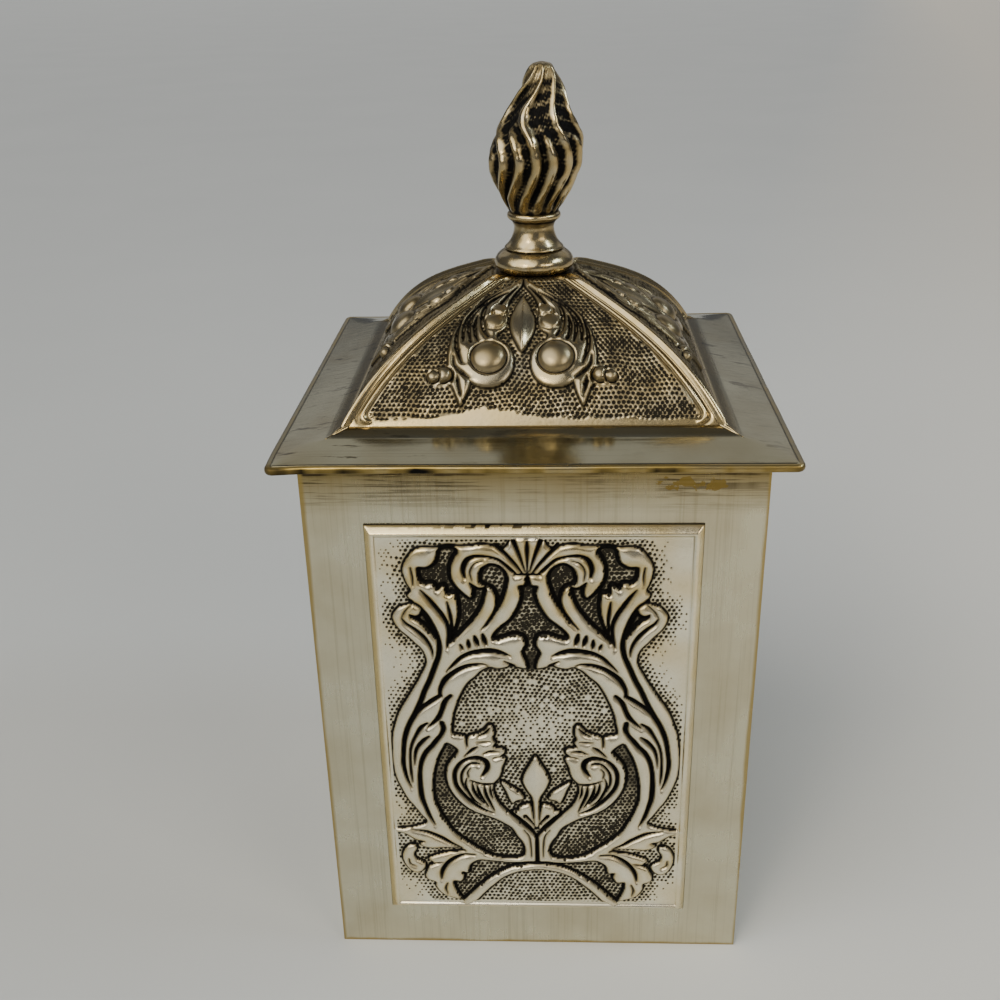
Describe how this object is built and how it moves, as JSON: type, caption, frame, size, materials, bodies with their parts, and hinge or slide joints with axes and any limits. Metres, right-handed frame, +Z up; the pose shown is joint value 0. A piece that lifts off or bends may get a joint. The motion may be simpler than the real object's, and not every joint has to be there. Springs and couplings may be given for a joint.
{
  "type": "square lidded metal vessel",
  "caption": "Square silver-plated metal vessel with relief panels on its sides and a lift-off domed lid with a flame finial, for keeping dry goods.",
  "frame": {"origin": "centre of the underside of the base", "axes": "+Z up through the finial, front panel facing -Y, +X to the right of someone facing the front"},
  "size_m": [0.105, 0.105, 0.1966],
  "materials": {
    "wall_silver": "silver-plated sheet brass, satin, tarnished and finely scratched",
    "panel_silver": "silver-plated pressed brass, bright high points and near-black hollows",
    "base_silver": "silver-plated sheet brass, scuffed and tarnished",
    "inside_silver": "silver-plated sheet brass, dull",
    "solder": "grey soft solder, dull and slightly lumpy",
    "rim_silver": "silver-plated sheet brass, satin, thin at the edges",
    "edge_brass": "brass wire with its plating worn away, dark patches",
    "dome_silver": "silver-plated pressed brass, worn golden on high points, near-black hollows",
    "rib_silver": "silver-plated brass worn golden along the crest",
    "finial_silver": "silver-plated cast brass, worn golden, black in the grooves",
    "plain_brass": "plain turned brass, dull"
  },
  "bodies": {
    "vessel": {"front_wall": "wall_silver", "right_wall": "wall_silver", "back_wall": "wall_silver", "left_wall": "wall_silver", "front_panel": "panel_silver", "right_panel": "panel_silver", "back_panel": "panel_silver", "left_panel": "panel_silver", "base_plate": "base_silver", "mouth_band": "inside_silver", "corner_solder": "solder"},
    "lid": {"lid_rim": "rim_silver", "rim_wire": "edge_brass", "lid_collar": "inside_silver", "dome_front": "dome_silver", "dome_right": "dome_silver", "dome_back": "dome_silver", "dome_left": "dome_silver", "hip_rib_front_left": "rib_silver", "hip_rib_front_right": "rib_silver", "hip_rib_back_right": "rib_silver", "hip_rib_back_left": "rib_silver", "finial_ring": "finial_silver", "finial_stem": "finial_silver", "finial_flame": "finial_silver", "finial_stud": "plain_brass", "finial_washer": "plain_brass", "finial_nut": "plain_brass"}
  },
  "joints": [
    {"name": "lid_lift", "type": "slide", "parent": "vessel", "child": "lid", "axis": [0, 0, 1], "range_m": [0, 0.08]}
  ]
}
